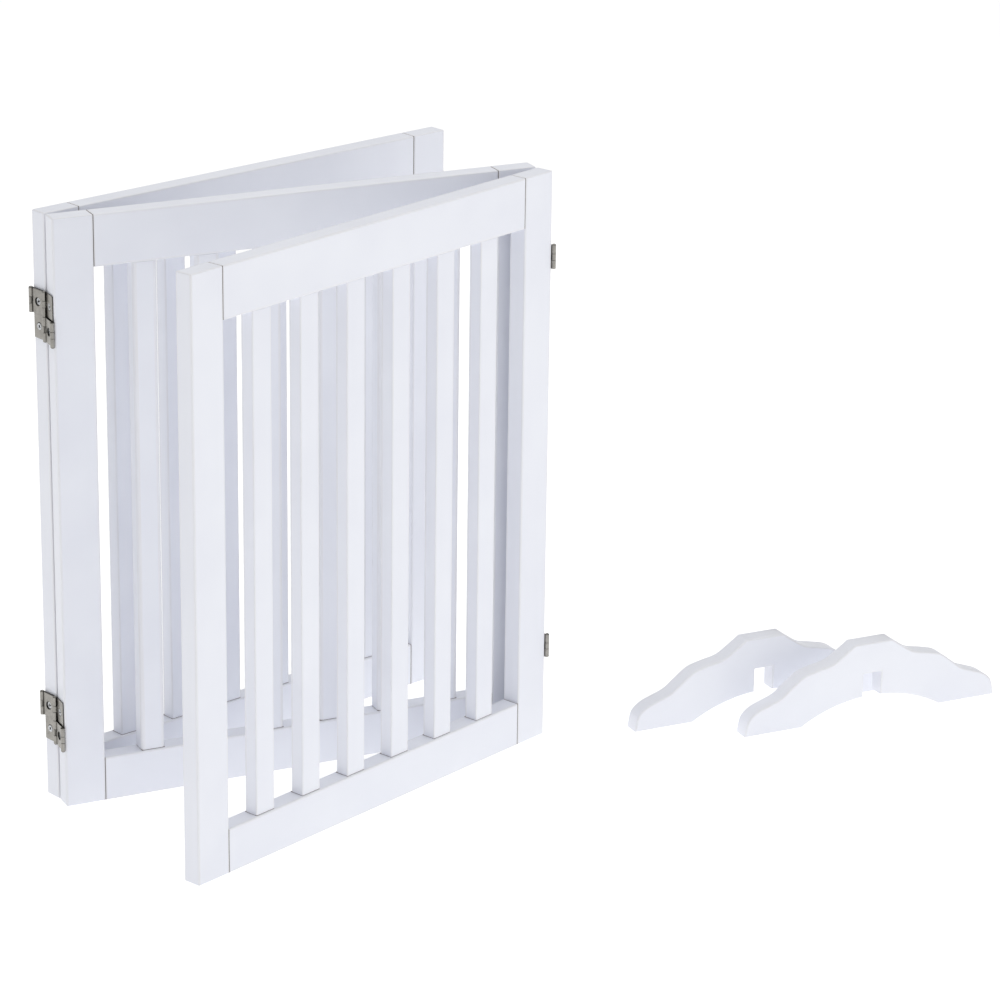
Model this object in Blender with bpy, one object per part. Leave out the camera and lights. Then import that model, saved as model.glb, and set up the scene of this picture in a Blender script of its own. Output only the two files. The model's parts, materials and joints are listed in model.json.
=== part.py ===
"""Folding three-panel pet gate with two loose support feet.

World frame: +Z up, the middle panel's length along X, the gate's front towards -Y.
The floor is Z = 0, and the origin is the centre of the whole object's footprint.
Every board is its own object. Each outer panel hangs on a vertical fold axis, held by
two double-action hinges, and stands at its fold angle; each foot stands on the floor.
"""
import math

import bmesh
import bpy
from mathutils import Matrix

# ---- driving dimensions, in metres -------------------------------------------------
PANEL_WIDTH = 0.512         # one panel, outside to outside
PANEL_HEIGHT = 0.610
FRAME_THICKNESS = 0.020     # stiles and rails
STILE_WIDTH = 0.0415
TOP_RAIL_HEIGHT = 0.0525
BOTTOM_RAIL_HEIGHT = 0.0465
SLAT_COUNT = 6
SLAT_WIDTH = 0.025
SLAT_THICKNESS = 0.0165
JOINT_GAP = 0.0003          # between boards that butt together
FRAME_EASE = 0.0010         # eased edge of stiles and rails
SLAT_EASE = 0.0006          # crisp side of a slat
SLAT_ROUND = 0.0028         # rounded side of a slat

FRONT_FOLD = math.radians(24.0)     # opening between the middle and the front panel
BACK_FOLD = math.radians(17.0)      # opening between the middle and the back panel

# double-action hinge: lengths outwards are measured from the ends of the panels
HINGE_DROP = 0.1025         # centre of the upper hinge below the top
HINGE_RISE = 0.0865         # centre of the lower hinge above the floor
HINGE_HALF = 0.0248         # height of its upper half and of its lower half
HALF_SPLIT = 0.0004         # gap between the two halves
PLATE = 0.0011              # sheet thickness of leaves and links
PLATE_GAP = 0.0003          # wood to leaf, and leaf to link
BARREL_RADIUS = 0.0023
PIN_RADIUS = 0.0012
PIN_PLAY = 0.0003
PIN_HEAD_RADIUS = 0.0019
PIN_HEAD_HEIGHT = 0.0008
LEAF_KNUCKLE = 0.0089       # a leaf's two knuckles per half, a link's one between them
SCREW_HOLE_RADIUS = 0.0019
ACCESS_HOLE_RADIUS = 0.0042
FACE_PLAY = 0.00075         # centre axis to a panel's inner face

AXIS_OUT = PLATE_GAP + BARREL_RADIUS                # hinge axes beyond the panel ends
AXIS_PITCH = FRAME_THICKNESS + 2 * FACE_PLAY        # centre axis to an outer axis
PLATE_EDGE = BARREL_RADIUS + 0.0004                 # plates stop this far from an axis

# support foot, a saddle that drops over a bottom rail between two slats
FOOT_LENGTH = 0.305
FOOT_THICKNESS = 0.020
FOOT_HEIGHT = 0.084
FOOT_TOP_HALF = 0.0225      # half of the flat top
FOOT_BASE_INNER = 0.0845    # where the flat soles end and the arch begins
FOOT_ARCH_RISE = 0.0230
FOOT_SLOT_WIDTH = 0.0215
FOOT_SLOT_TOP = 0.0490
FOOT_EASE = 0.0010
# shoulder line from the flat top down to the toe: distance from the middle, height
FOOT_SHOULDER = [
    (FOOT_TOP_HALF, FOOT_HEIGHT), (0.0360, 0.0745), (0.0500, 0.0660), (0.0680, 0.0620),
    (0.0840, 0.0575), (0.0980, 0.0475), (0.1110, 0.0375), (0.1250, 0.0320),
    (0.1390, 0.0265), (0.1490, 0.0175), (FOOT_LENGTH / 2, 0.0030),
]

# where the middle panel's centre and the feet's left front corners stand
MIDDLE_CENTRE = (-0.2458, 0.0289)
FOOT_CORNERS = {"support_foot_rear": (0.3549, -0.0677), "support_foot_front": (0.4538, -0.1270)}

WHITE_PAINT = (0.87, 0.87, 0.88, 1.0)
NICKEL = (0.62, 0.62, 0.60, 1.0)
ROUND_SIDES = 12            # facets round a cylinder
CURVE_STEPS = 2             # straight pieces between two points of a foot's shoulder
ARCH_STEPS = 6              # straight pieces in half of a foot's arch
SHARP_ANGLE = math.radians(50)      # edges sharper than this are eased
TONGUE_REACH = 0.7          # a tongue enters its knuckle by this part of the radius
BORE_OVERRUN = 0.001        # a pin's bore is cut this far beyond its knuckles
SHEET_OVERRUN = 0.0016      # a hole is cut this far beyond each face of its sheet


# ---- helpers -----------------------------------------------------------------------
def clear_scene():
    """Start from an empty scene."""
    for obj in list(bpy.data.objects):
        bpy.data.objects.remove(obj, do_unlink=True)


def material(name, colour, roughness, metallic):
    """One Principled BSDF."""
    mat = bpy.data.materials.new(name)
    mat.use_nodes = True
    shader = mat.node_tree.nodes["Principled BSDF"]
    shader.inputs["Base Color"].default_value = colour
    shader.inputs["Roughness"].default_value = roughness
    shader.inputs["Metallic"].default_value = metallic
    return mat


def empty(name, location, turn, parent):
    """A frame that other objects are placed in."""
    frame = bpy.data.objects.new(name, None)
    bpy.context.collection.objects.link(frame)
    frame.location = location
    frame.rotation_euler = (0.0, 0.0, turn)
    frame.parent = parent
    return frame


def add_object(name, bm, mat, parent, location=(0.0, 0.0, 0.0)):
    """Turn a bmesh into a named object under its parent."""
    bmesh.ops.recalc_face_normals(bm, faces=bm.faces)
    mesh = bpy.data.meshes.new(name)
    bm.to_mesh(mesh)
    bm.free()
    mesh.materials.append(mat)
    obj = bpy.data.objects.new(name, mesh)
    bpy.context.collection.objects.link(obj)
    obj.parent = parent
    obj.location = location
    return obj


def add_box(bm, low, high):
    """A closed box between two corners."""
    size = [b - a for a, b in zip(low, high)]
    middle = [(a + b) / 2 for a, b in zip(low, high)]
    matrix = Matrix.Translation(middle) @ Matrix.Diagonal((*size, 1.0))
    bmesh.ops.create_cube(bm, size=1.0, matrix=matrix)


def add_cylinder(bm, centre, radius, height, axis="Z"):
    """A closed cylinder about its centre, along Z or along X."""
    turn = Matrix.Rotation(math.pi / 2, 4, "Y") if axis == "X" else Matrix.Identity(4)
    bmesh.ops.create_cone(bm, cap_ends=True, segments=ROUND_SIDES, radius1=radius,
                          radius2=radius, depth=height, matrix=Matrix.Translation(centre) @ turn)


def prism(outline, vector):
    """Extrude a closed 3-D outline along a vector."""
    bm = bmesh.new()
    face = bm.faces.new([bm.verts.new(point) for point in outline])
    swept = bmesh.ops.extrude_face_region(bm, geom=[face])
    moved = [item for item in swept["geom"] if isinstance(item, bmesh.types.BMVert)]
    bmesh.ops.translate(bm, vec=vector, verts=moved)
    return bm


def bevel(obj, width):
    """Ease an object's sharp edges."""
    modifier = obj.modifiers.new("eased_edges", "BEVEL")
    modifier.width = width
    modifier.segments = 1
    modifier.limit_method = "ANGLE"
    modifier.angle_limit = SHARP_ANGLE


def combine(obj, operation, bm, mat):
    """Join a solid to an object, or cut it away, and keep the result."""
    tool = add_object(obj.name + "_tool", bm, mat, obj.parent, obj.location)
    modifier = obj.modifiers.new(operation.lower(), "BOOLEAN")
    modifier.operation = operation
    modifier.solver = "EXACT"
    modifier.object = tool
    bpy.context.view_layer.update()
    evaluated = obj.evaluated_get(bpy.context.evaluated_depsgraph_get())
    result = bpy.data.meshes.new_from_object(evaluated)
    obj.modifiers.clear()
    obj.data = result
    bpy.data.objects.remove(tool, do_unlink=True)


# ---- boards ------------------------------------------------------------------------
def board(name, low, high, mat, parent):
    """A stile or a rail, with eased edges and its origin at its own centre."""
    centre = [(a + b) / 2 for a, b in zip(low, high)]
    half = [(b - a) / 2 for a, b in zip(low, high)]
    bm = bmesh.new()
    add_box(bm, [-h for h in half], half)
    bevel(add_object(name, bm, mat, parent, centre), FRAME_EASE)


def slat(name, x, low, high, round_side, mat, parent):
    """An upright slat: small chamfers on one side and wide ones on its round side."""
    w = SLAT_WIDTH / 2
    t = SLAT_THICKNESS / 2
    a = SLAT_EASE
    b = SLAT_ROUND
    outline = [(-w, t - b), (-w, -t + a), (-w + a, -t), (w - a, -t),
               (w, -t + a), (w, t - b), (w - b, t), (-w + b, t)]
    points = [(px, round_side * py, 0.0) for px, py in outline]
    bm = prism(points, (0.0, 0.0, high - low))
    add_object(name, bm, mat, parent, (x, 0.0, low))


def panel(prefix, centre, round_side, mat, parent):
    """Two stiles, two rails between them and the slats between the rails."""
    frame = empty(prefix + "_panel_frame", (*centre, 0.0), 0.0, parent)
    half_w = PANEL_WIDTH / 2
    half_t = FRAME_THICKNESS / 2
    inner = half_w - STILE_WIDTH
    for side, low_x in (("left", -half_w), ("right", inner)):
        board(f"{prefix}_stile_{side}", (low_x, -half_t, 0.0),
              (low_x + STILE_WIDTH, half_t, PANEL_HEIGHT), mat, frame)
    rail_half = inner - JOINT_GAP
    rail_top = PANEL_HEIGHT - TOP_RAIL_HEIGHT
    board(f"{prefix}_rail_top", (-rail_half, -half_t, rail_top),
          (rail_half, half_t, PANEL_HEIGHT), mat, frame)
    board(f"{prefix}_rail_bottom", (-rail_half, -half_t, 0.0),
          (rail_half, half_t, BOTTOM_RAIL_HEIGHT), mat, frame)
    pitch = (2 * inner + SLAT_WIDTH) / (SLAT_COUNT + 1)
    for index in range(SLAT_COUNT):
        x = -inner - SLAT_WIDTH / 2 + pitch * (index + 1)
        slat(f"{prefix}_slat_{index + 1}", x, BOTTOM_RAIL_HEIGHT + JOINT_GAP,
             rail_top - JOINT_GAP, round_side, mat, frame)


# ---- double-action hinge -----------------------------------------------------------
# Hinge frame: the centre axis is at the origin, +X points out of the panels' ends, the
# outer panel is on -Y and the middle panel on +Y, and Z = 0 is the hinge's mid height.
def half_span(half):
    """Low and high Z of the upper (+1) or lower (-1) half of a hinge."""
    near = half * HALF_SPLIT / 2
    far = half * (HALF_SPLIT / 2 + HINGE_HALF)
    return min(near, far), max(near, far)


def knuckle_spans(half, owner):
    """Z spans of the knuckles that a leaf (two) or a link (the one between) has."""
    low, high = half_span(half)
    if owner == "leaf":
        return [(low, low + LEAF_KNUCKLE), (high - LEAF_KNUCKLE, high)]
    clear = LEAF_KNUCKLE + PLATE_GAP
    return [(low + clear, high - clear)]


def add_knuckles(obj, y, plate_y, spans, plate_low, mat):
    """Rolled knuckles on the axis at Y = y, each with its tongue from the plate."""
    for low, high in spans:
        bm = bmesh.new()
        add_cylinder(bm, (0.0, y, (low + high) / 2), BARREL_RADIUS, high - low)
        combine(obj, "UNION", bm, mat)
        tongue_end = y - math.copysign(BARREL_RADIUS * TONGUE_REACH, y - plate_y)
        bm = bmesh.new()
        add_box(bm, (plate_low, min(plate_y, tongue_end), low),
                (plate_low + PLATE, max(plate_y, tongue_end), high))
        combine(obj, "UNION", bm, mat)
    low, high = min(s[0] for s in spans), max(s[1] for s in spans)
    bm = bmesh.new()
    add_cylinder(bm, (0.0, y, (low + high) / 2), PIN_RADIUS + PIN_PLAY,
                 high - low + 2 * BORE_OVERRUN)
    combine(obj, "DIFFERENCE", bm, mat)


def plate_object(name, low_x, span, side, mat, parent):
    """The flat sheet of a leaf or a link on one side of the hinge."""
    near, far = side * PLATE_EDGE, side * (AXIS_PITCH - PLATE_EDGE)
    bm = bmesh.new()
    add_box(bm, (low_x, min(near, far), span[0]), (low_x + PLATE, max(near, far), span[1]))
    return add_object(name, bm, mat, parent)


def cut_hole(obj, x, y, z, radius, mat):
    """A round hole through a sheet, along the panel's length."""
    bm = bmesh.new()
    add_cylinder(bm, (x, y, z), radius, PLATE + 2 * SHEET_OVERRUN, "X")
    combine(obj, "DIFFERENCE", bm, mat)


def leaf(name, side, upper_on_outer_axis, mat, parent):
    """The leaf screwed to a panel's end, with knuckles on two different axes."""
    low_x = -AXIS_OUT + PLATE_GAP
    obj = plate_object(name, low_x, (half_span(-1)[0], half_span(1)[1]), side, mat, parent)
    for half in (1, -1):
        on_outer = upper_on_outer_axis == (half == 1)
        y = side * AXIS_PITCH if on_outer else 0.0
        plate_y = side * (AXIS_PITCH - PLATE_EDGE - PLATE if on_outer else PLATE_EDGE + PLATE)
        add_knuckles(obj, y, plate_y, knuckle_spans(half, "leaf"), low_x, mat)
        cut_hole(obj, low_x, side * AXIS_PITCH / 2, sum(half_span(half)) / 2,
                 SCREW_HOLE_RADIUS, mat)


def link(name, side, half, mat, parent):
    """A link plate over one half of a leaf, with an access hole over the screw."""
    low_x = -AXIS_OUT + 2 * PLATE_GAP + PLATE
    obj = plate_object(name, low_x, half_span(half), side, mat, parent)
    for y, plate_y in ((0.0, PLATE_EDGE + PLATE), (AXIS_PITCH, AXIS_PITCH - PLATE_EDGE - PLATE)):
        add_knuckles(obj, side * y, side * plate_y, knuckle_spans(half, "link"), low_x, mat)
    cut_hole(obj, low_x, side * AXIS_PITCH / 2, sum(half_span(half)) / 2,
             ACCESS_HOLE_RADIUS, mat)


def pin(name, y, low, high, heads, mat, parent):
    """A hinge pin with a peened head at its top (+1), its bottom (-1) or both."""
    bottom = low - (PIN_PLAY if -1 in heads else 0.0)
    top = high + (PIN_PLAY if 1 in heads else 0.0)
    bm = bmesh.new()
    add_cylinder(bm, (0.0, y, (bottom + top) / 2), PIN_RADIUS, top - bottom)
    obj = add_object(name, bm, mat, parent)
    for end, z in ((1, top + PIN_HEAD_HEIGHT / 2), (-1, bottom - PIN_HEAD_HEIGHT / 2)):
        if end in heads:
            bm = bmesh.new()
            add_cylinder(bm, (0.0, y, z), PIN_HEAD_RADIUS, PIN_HEAD_HEIGHT)
            combine(obj, "UNION", bm, mat)


def hinge(prefix, height, outer_end, middle_end, mat):
    """One double-action hinge: two leaves, two links and three pins."""
    outer = empty(prefix + "_outer_frame", (0.0, 0.0, height), 0.0, outer_end)
    middle = empty(prefix + "_middle_frame", (0.0, 0.0, height), 0.0, middle_end)
    leaf(prefix + "_leaf_outer", -1, True, mat, outer)
    leaf(prefix + "_leaf_middle", 1, False, mat, middle)
    link(prefix + "_link_upper", -1, 1, mat, outer)
    link(prefix + "_link_lower", 1, -1, mat, middle)
    low, top = half_span(1)
    bottom, high = half_span(-1)
    pin(prefix + "_pin_outer", -AXIS_PITCH, low, top, (1,), mat, outer)
    pin(prefix + "_pin_centre", 0.0, bottom, top, (1, -1), mat, middle)
    pin(prefix + "_pin_middle", AXIS_PITCH, bottom, high, (-1,), mat, middle)


# ---- support foot ------------------------------------------------------------------
def smooth_line(points):
    """Catmull-Rom curve through a line's points."""
    padded = [points[0]] + points + [points[-1]]
    line = []
    for p0, p1, p2, p3 in zip(padded, padded[1:], padded[2:], padded[3:]):
        for step in range(CURVE_STEPS):
            t = step / CURVE_STEPS
            line.append(tuple(
                0.5 * (2 * b + (c - a) * t + (2 * a - 5 * b + 4 * c - d) * t ** 2
                       + (3 * b - a - 3 * c + d) * t ** 3)
                for a, b, c, d in zip(p0, p1, p2, p3)))
    return line + [points[-1]]


def foot_outline():
    """Right half of a foot, from the flat top's corner down and in to the slot."""
    radius = (FOOT_BASE_INNER ** 2 + FOOT_ARCH_RISE ** 2) / (2 * FOOT_ARCH_RISE)
    slot_half = FOOT_SLOT_WIDTH / 2
    arch = []
    for step in range(ARCH_STEPS + 1):
        x = FOOT_BASE_INNER + (slot_half - FOOT_BASE_INNER) * step / ARCH_STEPS
        arch.append((x, FOOT_ARCH_RISE - radius + math.sqrt(radius ** 2 - x ** 2)))
    toe = (FOOT_LENGTH / 2, 0.0)
    return smooth_line(FOOT_SHOULDER) + [toe] + arch + [(slot_half, FOOT_SLOT_TOP)]


def foot(name, corner, mat, parent):
    """A mirrored outline cut from one board."""
    right = foot_outline()
    left = [(-x, z) for x, z in reversed(right)]
    points = [(x, 0.0, z) for x, z in right + left]
    bm = prism(points, (0.0, FOOT_THICKNESS, 0.0))
    location = (corner[0] + FOOT_LENGTH / 2, corner[1], 0.0)
    bevel(add_object(name, bm, mat, parent, location), FOOT_EASE)


# ---- the gate ----------------------------------------------------------------------
def build():
    """Set the panels at their fold angles and the feet beside them."""
    clear_scene()
    paint = material("white_paint", WHITE_PAINT, 0.45, 0.0)
    nickel = material("nickel_plate", NICKEL, 0.30, 1.0)
    gate = empty("gate_frame", (*MIDDLE_CENTRE, 0.0), 0.0, None)
    panel("middle", (0.0, 0.0), -1, paint, gate)

    axis_x = PANEL_WIDTH / 2 + AXIS_OUT
    axis_y = FRAME_THICKNESS / 2 + FACE_PLAY
    ends = (("front", "right", 0.0, FRONT_FOLD, 1), ("back", "left", math.pi, BACK_FOLD, -1))
    for prefix, side, facing, fold, round_side in ends:
        sign = math.cos(facing)
        place = (sign * axis_x, -sign * axis_y, 0.0)
        middle_end = empty(side + "_end", place, facing, gate)
        fold_axis = empty(prefix + "_fold_axis", place, facing + fold, gate)
        panel(prefix, (-axis_x, -axis_y), round_side, paint, fold_axis)
        for level, height in (("upper", PANEL_HEIGHT - HINGE_DROP), ("lower", HINGE_RISE)):
            hinge(f"{side}_{level}_hinge", height, fold_axis, middle_end, nickel)

    for name, corner in FOOT_CORNERS.items():
        foot(name, corner, paint, gate)


build()
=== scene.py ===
# %% [markdown]
# # A folding pet gate
# The gate is three painted wooden panels on double-action hinges, with two loose feet.
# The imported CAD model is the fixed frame: it says where every board, hinge and foot is.
# This lesson builds a finer surface for each piece at that same place, and gives each
# piece the finish of the real one. Everything is in metres, with Z up.

# %% Load the frame
import json
import math

import bmesh
import bpy
import numpy as np
from mathutils import Matrix, Vector


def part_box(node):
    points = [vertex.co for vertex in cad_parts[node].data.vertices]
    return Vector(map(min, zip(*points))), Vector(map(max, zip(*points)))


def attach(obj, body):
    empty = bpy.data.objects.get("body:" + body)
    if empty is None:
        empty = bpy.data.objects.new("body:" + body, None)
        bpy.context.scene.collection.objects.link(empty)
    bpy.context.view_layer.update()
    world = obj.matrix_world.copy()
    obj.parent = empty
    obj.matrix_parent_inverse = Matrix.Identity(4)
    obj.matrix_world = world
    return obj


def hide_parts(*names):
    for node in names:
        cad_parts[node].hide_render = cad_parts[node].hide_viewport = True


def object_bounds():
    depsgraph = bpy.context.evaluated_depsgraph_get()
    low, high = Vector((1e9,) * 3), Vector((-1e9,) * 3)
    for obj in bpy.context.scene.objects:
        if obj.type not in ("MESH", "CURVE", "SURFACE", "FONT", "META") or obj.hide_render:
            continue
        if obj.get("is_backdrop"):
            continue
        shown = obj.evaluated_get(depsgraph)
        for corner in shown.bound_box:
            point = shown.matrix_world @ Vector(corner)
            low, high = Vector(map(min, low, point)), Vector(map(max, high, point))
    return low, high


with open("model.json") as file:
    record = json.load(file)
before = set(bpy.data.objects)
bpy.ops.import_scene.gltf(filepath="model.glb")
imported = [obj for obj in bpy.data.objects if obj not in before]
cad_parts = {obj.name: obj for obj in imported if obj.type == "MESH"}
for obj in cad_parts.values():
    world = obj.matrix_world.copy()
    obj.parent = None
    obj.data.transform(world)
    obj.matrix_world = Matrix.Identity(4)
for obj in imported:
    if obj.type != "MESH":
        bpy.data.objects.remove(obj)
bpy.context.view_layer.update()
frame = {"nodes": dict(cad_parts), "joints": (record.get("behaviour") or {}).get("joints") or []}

MM = 0.001

# %% [markdown]
# ## Where the pieces stand
# The outer panels are turned on vertical fold axes, so their boards lie at an angle to
# X and Y. It is easier to shape a board while its panel is shut and square to X, and to
# turn the finished points afterwards. A fold joint starts at the shut position, so the
# low end of its range is how far the panel is turned at rest. `shut_box` turns a CAD
# node's points back to the shut position and measures them there.

# %% Panels, their fold axes and their boxes when shut
joints = {joint["name"]: joint for joint in frame["joints"]}


def stance(prefix):
    """A panel's fold axis (x, y) and how far it is turned about it, in radians."""
    if prefix == "middle":
        return np.zeros(2), 0.0
    joint = joints[prefix + "_fold"]
    return np.array(joint["pos_m"][:2]), math.radians(-joint["range_deg"][0])


def turn(points, pivot, angle):
    """Points turned about a vertical axis: (x, y) by the 2-D rotation, z kept."""
    c, s = math.cos(angle), math.sin(angle)
    flat = (points[..., :2] - pivot) @ np.array([[c, s], [-s, c]]) + pivot
    return np.concatenate([flat, points[..., 2:]], axis=-1)


def node_points(node):
    """A CAD node's vertices as an array of shape (n, 3)."""
    vertices = frame["nodes"][node].data.vertices
    points = np.empty(len(vertices) * 3)
    vertices.foreach_get("co", points)
    return points.reshape(-1, 3)


def shut_box(node, prefix):
    """Lowest and highest corner of a panel's node with that panel shut."""
    pivot, angle = stance(prefix)
    points = turn(node_points(node), pivot, -angle)
    return points.min(0), points.max(0)


PANELS = ("middle", "front", "back")
for prefix in PANELS:
    print(prefix, "panel is turned", round(math.degrees(stance(prefix)[1]), 1), "degrees")

# %% [markdown]
# ## Turning arrays into pieces
# Every new surface below is a grid of points worked out with numpy. One function puts
# such a grid into a mesh, rides it on its body, gives it its finish and hides the CAD
# nodes that it stands for. Attributes travel with the points: on wood, `board` is a place
# on the board itself, so that grain follows each board, and `arris` is 1 on a rounded edge
# and 0 on a flat. On steel, a layer of painted shade is 1 in a crevice and 0 in the open.

# %% Making a piece
WOOD_CREASE = 40                # degrees: an edge bent further than this is shaded sharp


def grid_faces(rows, columns, close_rows=False):
    """Quads of a grid whose columns close on themselves: each joins two neighbours."""
    i = np.arange(rows if close_rows else rows - 1)[:, None]
    j = np.arange(columns)[None, :]
    down, right = (i + 1) % rows, (j + 1) % columns
    quads = np.stack([i * columns + j, i * columns + right,
                      down * columns + right, down * columns + j], axis=-1)
    return quads.reshape(-1, 4).tolist()


def joined(shells):
    """Several (points, faces, layer) shells as one, with the face numbers moved on."""
    points, faces, layers, start = [], [], [], 0
    for shell_points, shell_faces, layer in shells:
        points.append(shell_points)
        faces += [[index + start for index in face] for face in shell_faces]
        layers.append(layer)
        start += len(shell_points)
    return np.concatenate(points), faces, np.concatenate(layers)


def add_piece(name, points, faces, body, slot, finish, stands_for=(), crease=WOOD_CREASE,
              **layers):
    """A smooth-shaded mesh piece with its finish, riding on a body.

    layers are point attributes by name: one number a point, or one vector a point.
    """
    mesh = bpy.data.meshes.new(name)
    mesh.from_pydata(points.tolist(), [], faces)
    shell = bmesh.new()
    shell.from_mesh(mesh)
    bmesh.ops.recalc_face_normals(shell, faces=shell.faces)
    shell.to_mesh(mesh)
    shell.free()
    mesh.shade_smooth()
    mesh.set_sharp_from_angle(angle=math.radians(crease))
    for layer, values in layers.items():
        kind, key = ("FLOAT", "value") if values.ndim == 1 else ("FLOAT_VECTOR", "vector")
        attribute = mesh.attributes.new(layer, kind, "POINT")
        attribute.data.foreach_set(key, values.astype(np.float32).ravel())
    mesh.materials.append(finish)
    piece = bpy.data.objects.new(name, mesh)
    bpy.context.scene.collection.objects.link(piece)
    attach(piece, body)
    if stands_for:
        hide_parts(*stands_for)


print("a grid of 3 by 4 points that close on themselves has", len(grid_faces(3, 4)), "faces")

# %% [markdown]
# ## Helpers for finishes
# Colours are written as sRGB hex values, the way a paint chart gives them, and one
# function turns them to the linear values that a shader wants. One small function adds
# a node with its settings and its links, so each finish reads as a list of nodes.

# %% Colour and node helpers
def linear(hex_colour):
    """An sRGB hex colour as linear RGBA: the standard curve, undone channel by channel."""
    srgb = [int(hex_colour[i:i + 2], 16) / 255 for i in (1, 3, 5)]
    curve = [c / 12.92 if c <= 0.04045 else ((c + 0.055) / 1.055) ** 2.4 for c in srgb]
    return (*curve, 1.0)


def add_node(tree, kind, settings=None, **inputs):
    """A shader node. settings are its properties; inputs are values or sockets to link."""
    node = tree.nodes.new("ShaderNode" + kind)
    for key, value in (settings or {}).items():
        setattr(node, key, value)
    for key, value in inputs.items():
        socket = node.inputs[int(key[1:]) if key[1:].isdigit() else key.replace("_", " ")]
        if isinstance(value, bpy.types.NodeSocket):
            tree.links.new(value, socket)
        else:
            socket.default_value = value
    return node


def new_finish(name, **shader_values):
    """A material with one Principled shader; returns it, its tree and its shader."""
    finish = bpy.data.materials.new(name)
    finish.use_nodes = True
    shader = finish.node_tree.nodes["Principled BSDF"]
    for key, value in shader_values.items():
        shader.inputs[key.replace("_", " ")].default_value = value
    return finish, finish.node_tree, shader


print("sRGB mid grey #808080 is", round(linear("#808080")[0], 3), "in linear light")

# %% [markdown]
# ## Finish: satin white enamel on pine
# Real: sanded pine, sprayed with a white satin enamel. To the eye that is a cool white
# with a soft sheen, the faintest lines of grain under the film, a fine orange-peel from
# the spray, and a slightly thinner, greyer film where the paint draws back from an
# arris. The grain is a noise stretched along the board's own length, at 1.6 mm across
# the grain; the orange peel has cells of 1.5 mm. The enamel's IOR is that of a paint
# resin, and its thin coat gives the second, softer highlight of a satin film.

# %% The enamel
GRAIN_LENGTH = 60 * MM
GRAIN_WIDTH = 1.6 * MM
PAINT_CLOUD = 90 * MM           # how far apart the film turns thicker and thinner
ORANGE_PEEL = 1.5 * MM
GRAIN_RELIEF = 0.05 * MM
PEEL_RELIEF = 0.04 * MM


def satin_white_enamel():
    """White satin enamel over sanded pine."""
    finish, tree, shader = new_finish("satin_white_enamel_on_pine", IOR=1.48, Coat_Weight=0.12,
                                      Coat_Roughness=0.25)
    board = add_node(tree, "Attribute", {"attribute_name": "board"}).outputs["Vector"]
    arris = add_node(tree, "Attribute", {"attribute_name": "arris"}).outputs["Fac"]
    along = add_node(tree, "Mapping", Vector=board,
                     Scale=(1 / GRAIN_LENGTH, 1 / GRAIN_WIDTH, 1 / GRAIN_WIDTH))
    grain = add_node(tree, "TexNoise", Vector=along.outputs[0], Scale=1.0, Detail=3.0)
    cloudy = add_node(tree, "TexNoise", Vector=board, Scale=1 / PAINT_CLOUD, Detail=2.0)
    peel = add_node(tree, "TexNoise", Vector=board, Scale=1 / ORANGE_PEEL, Detail=1.0)
    tone = add_node(tree, "ValToRGB", Fac=cloudy.outputs["Fac"])
    tone.color_ramp.elements[0].position = 0.35
    tone.color_ramp.elements[1].position = 0.65
    tone.color_ramp.elements[0].color = linear("#EDEFF7")
    tone.color_ramp.elements[1].color = linear("#F1F3FA")
    thin = add_node(tree, "Math", {"operation": "MULTIPLY"}, _0=arris, _1=grain.outputs["Fac"])
    worn = add_node(tree, "Mix", {"data_type": "RGBA"}, _0=thin.outputs[0],
                    _6=tone.outputs["Color"], _7=linear("#E9E8EA"))
    sheen = add_node(tree, "MapRange", Value=cloudy.outputs["Fac"], From_Min=0.3, From_Max=0.7,
                     To_Min=0.36, To_Max=0.46)
    lines = add_node(tree, "Bump", Strength=0.35, Distance=GRAIN_RELIEF,
                     Height=grain.outputs["Fac"])
    skin = add_node(tree, "Bump", Strength=0.30, Distance=PEEL_RELIEF,
                    Height=peel.outputs["Fac"], Normal=lines.outputs[0])
    tree.links.new(worn.outputs[2], shader.inputs["Base Color"])
    tree.links.new(sheen.outputs[0], shader.inputs["Roughness"])
    tree.links.new(skin.outputs[0], shader.inputs["Normal"])
    return finish


ENAMEL = satin_white_enamel()
print("made", ENAMEL.name)

# %% [markdown]
# ## The section of a board
# A stile or a rail is planed timber with its arrises eased: cut across, it is a rounded
# rectangle. Its four arcs carry a point a little way in on each flat. Without those
# points the smooth shading of an arc would spread over the whole face.

# %% A rounded rectangle
ARC_STEPS = 4               # faces round a quarter of an arris
SUPPORT = 1.2 * MM          # how far in the point on a flat lies
LEAST_RADIUS = 0.15         # of an arris: its radius never shrinks below this part


def profile_ring(half_a, half_b, radii, inset, support):
    """Rounded rectangle: four corner arcs, each with a support point on both its flats.

    half_a, half_b and inset are arrays along the board; the result is (stations, n, 2).
    Corner k has centre = sign * (half - inset - r) and points centre + r * (cos, sin).
    """
    steps = np.linspace(0.0, math.pi / 2, ARC_STEPS + 1)
    corners = []
    for k, (sign_a, sign_b) in enumerate(((1, 1), (-1, 1), (-1, -1), (1, -1))):
        r = np.maximum(radii[k] - inset, LEAST_RADIUS * radii[k])[:, None]
        centre_a = sign_a * (half_a - inset)[:, None] - sign_a * r
        centre_b = sign_b * (half_b - inset)[:, None] - sign_b * r
        angle = steps + k * math.pi / 2
        a = centre_a + r * np.cos(angle)
        b = centre_b + r * np.sin(angle)
        before = np.array([math.sin(angle[0]), -math.cos(angle[0])]) * support
        after = np.array([-math.sin(angle[-1]), math.cos(angle[-1])]) * support
        a = np.concatenate([a[:, :1] + before[0], a, a[:, -1:] + after[0]], axis=1)
        b = np.concatenate([b[:, :1] + before[1], b, b[:, -1:] + after[1]], axis=1)
        corners.append(np.stack([a, b], axis=-1))
    return np.concatenate(corners, axis=1)


print("points round a board:", 4 * (ARC_STEPS + 3))

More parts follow.
